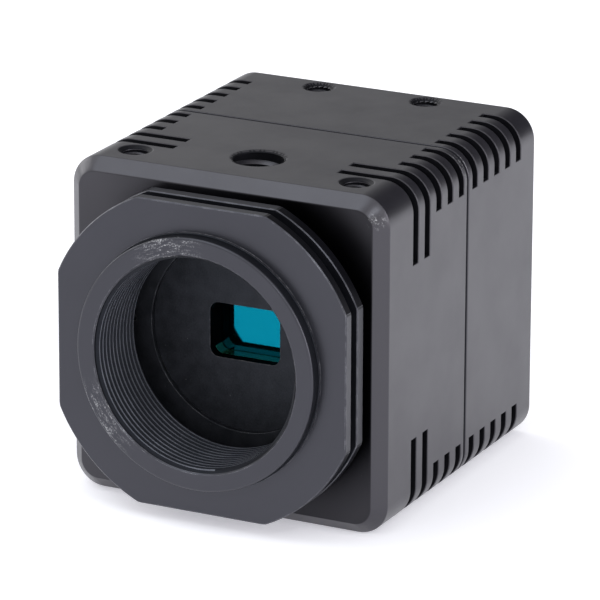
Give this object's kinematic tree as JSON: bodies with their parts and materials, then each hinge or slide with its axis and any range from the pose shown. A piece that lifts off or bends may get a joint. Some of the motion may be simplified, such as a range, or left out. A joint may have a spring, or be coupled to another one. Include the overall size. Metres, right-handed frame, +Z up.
{
  "type": "cooled astronomy camera",
  "caption": "Small square-bodied cooled astronomy camera with a screw-in lens adapter, lock ring, corner vent slots, thermoelectric cooler, heat sink, rear fan and rear sockets.",
  "frame": {"origin": "centre of the lens flange face, on the optical axis", "axes": "+Y runs into the camera along the optical axis, +Z is up, +X is to the right seen from the front"},
  "size_m": [0.04, 0.0484, 0.04],
  "materials": {
    "anodised_shell": "bead-blasted, black anodised",
    "anodised_adapter": "turned, black anodised, worn at the edges",
    "blackened_metal": "matt black",
    "guard_metal": "satin black",
    "black_rubber": "matt",
    "white_polymer": "matt",
    "gloss_frame": "polished black",
    "coated_glass": "polished, teal anti-reflection coating",
    "clear_glass": "polished",
    "silicon": "polished silicon",
    "package_ceramic": "matt dark ceramic",
    "circuit_board": "green solder mask",
    "chip_plastic": "moulded epoxy",
    "brass": "turned",
    "copper": "copper, bright",
    "white_ceramic": "fired alumina",
    "pellet_metal": "bismuth telluride, ground",
    "lead_insulation": "one red and one black lead",
    "heat_sink_metal": "milled, clear anodised",
    "screw_steel": "black oxide",
    "fan_plastic": "moulded",
    "magnet_metal": "bonded magnet",
    "bright_steel": "polished",
    "header_plastic": "natural nylon",
    "flex_film": "polyimide film",
    "socket_plastic": "moulded",
    "light_lens": "milky green light guide"
  },
  "bodies": {
    "housing": {"front_housing": "anodised_shell", "rear_housing": "anodised_shell", "housing_gasket": "black_rubber", "retaining_ring": "blackened_metal", "sensor_mask": "blackened_metal", "window_frame": "gloss_frame", "filter_glass": "coated_glass", "filter_gasket": "black_rubber", "sensor_cover_glass": "clear_glass", "sensor_die": "silicon", "sensor_package": "package_ceramic", "sensor_board": "circuit_board", "sensor_board_parts": "chip_plastic", "chamber_gasket": "black_rubber", "standoffs": "brass", "cold_finger": "copper", "temperature_probe": "white_polymer", "insulation_collar": "white_polymer", "tec_cold_plate": "white_ceramic", "tec_pellets": "pellet_metal", "tec_hot_plate": "white_ceramic", "tec_leads": "lead_insulation", "heat_sink": "heat_sink_metal", "heat_sink_screws": "screw_steel", "fan_frame": "fan_plastic", "fan_stator": "copper", "fan_bearing": "brass", "fan_leads": "lead_insulation", "fan_guard": "guard_metal", "fan_screws": "screw_steel", "main_board": "circuit_board", "main_board_chips": "chip_plastic", "main_board_headers": "header_plastic", "main_board_screws": "screw_steel", "flex_cable": "flex_film", "usb_socket_shell": "bright_steel", "usb_socket_tongue": "socket_plastic", "power_socket": "socket_plastic", "power_socket_pin": "bright_steel", "status_light": "light_lens", "tie_screws": "screw_steel"},
    "adapter_slider": {"adapter_o_ring": "black_rubber"},
    "adapter": {"lens_adapter": "anodised_adapter"},
    "lock_slider": {"lock_washer": "white_polymer"},
    "lock_ring": {"lock_ring": "anodised_adapter"},
    "fan_rotor": {"fan_rotor": "fan_plastic", "fan_magnet": "magnet_metal", "fan_shaft": "bright_steel"}
  },
  "joints": [
    {"name": "adapter_travel", "type": "slide", "parent": "housing", "child": "adapter_slider", "axis": [0, 1, 0], "range_m": [-0.0015, 0.00069]},
    {"name": "adapter_turn", "type": "hinge", "parent": "adapter_slider", "child": "adapter", "pos_m": [0, 0, 0], "axis": [0, 1, 0], "range_deg": [-720, 330]},
    {"name": "lock_travel", "type": "slide", "parent": "housing", "child": "lock_slider", "axis": [0, 1, 0], "range_m": [-0.0007501, 0]},
    {"name": "lock_turn", "type": "hinge", "parent": "lock_slider", "child": "lock_ring", "pos_m": [0, 0.0045, 0], "axis": [0, 1, 0], "range_deg": [-360, 0]},
    {"name": "fan_spin", "type": "hinge", "parent": "housing", "child": "fan_rotor", "pos_m": [0, 0.0409, 0.003], "axis": [0, 1, 0], "continuous": true}
  ],
  "couplings": [
    {"joint": "adapter_travel", "follows": "adapter_turn", "m_per_rad": 0.00011937},
    {"joint": "lock_travel", "follows": "lock_turn", "m_per_rad": 0.00011937}
  ]
}
